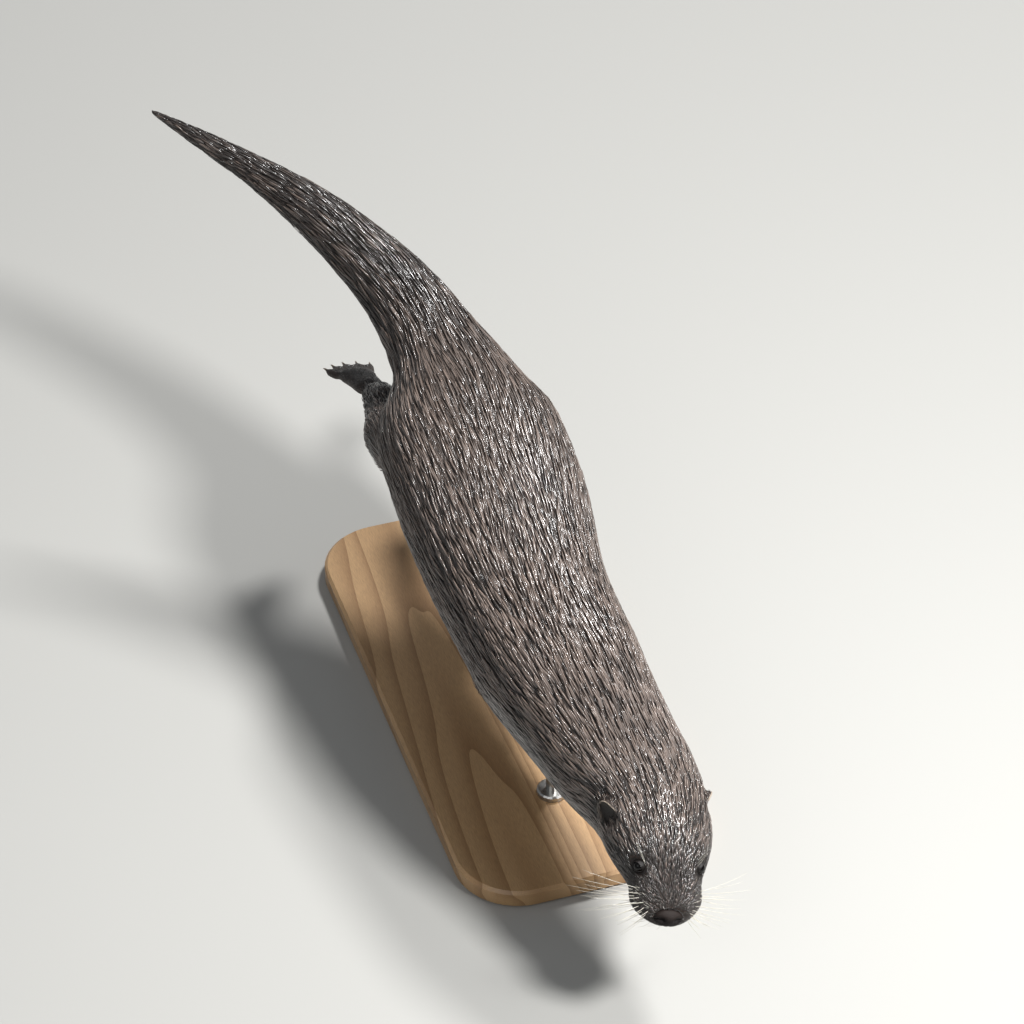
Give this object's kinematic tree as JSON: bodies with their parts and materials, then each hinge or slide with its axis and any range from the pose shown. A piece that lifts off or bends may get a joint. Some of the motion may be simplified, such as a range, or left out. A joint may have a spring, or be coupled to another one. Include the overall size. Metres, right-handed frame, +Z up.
{
  "type": "swimming otter model",
  "caption": "Life-size still model of a Eurasian otter swimming, head low, legs trailed and tail curved, held over a flat oak base by slim steel rods.",
  "frame": {"origin": "centre of the underside of the stand's base", "axes": "+X towards the nose, +Y to the animal's left, +Z up"},
  "size_m": [0.9833, 0.3349, 0.4183],
  "materials": {
    "body_coat": "wet brown fur",
    "head_coat": "wet short brown fur",
    "limb_coat": "wet short dark brown fur",
    "ear_coat": "short fur",
    "eye": "glossy dark",
    "nose_leather": "damp, finely grained",
    "claw": "satin horn",
    "oak": "satin",
    "steel": "brushed"
  },
  "bodies": {
    "root": {"head": "head_coat", "neck": "body_coat", "chest": "body_coat", "loin": "body_coat", "rump": "body_coat", "tail_base": "body_coat", "tail_middle": "body_coat", "tail_tip": "body_coat", "nose_pad": "nose_leather", "eye_left": "eye", "ear_left": "ear_coat", "eye_right": "eye", "ear_right": "ear_coat", "fore_left_claw_1": "claw", "fore_left_claw_2": "claw", "fore_left_claw_3": "claw", "fore_left_claw_4": "claw", "fore_left_claw_5": "claw", "fore_left_foot": "limb_coat", "fore_left_leg": "limb_coat", "hind_left_claw_1": "claw", "hind_left_claw_2": "claw", "hind_left_claw_3": "claw", "hind_left_claw_4": "claw", "hind_left_claw_5": "claw", "hind_left_foot": "limb_coat", "hind_left_leg": "limb_coat", "fore_right_claw_1": "claw", "fore_right_claw_2": "claw", "fore_right_claw_3": "claw", "fore_right_claw_4": "claw", "fore_right_claw_5": "claw", "fore_right_foot": "limb_coat", "fore_right_leg": "limb_coat", "hind_right_claw_1": "claw", "hind_right_claw_2": "claw", "hind_right_claw_3": "claw", "hind_right_claw_4": "claw", "hind_right_claw_5": "claw", "hind_right_foot": "limb_coat", "hind_right_leg": "limb_coat", "stand_base": "oak", "stand_rod_front": "steel", "stand_rod_rear": "steel"}
  },
  "joints": []
}
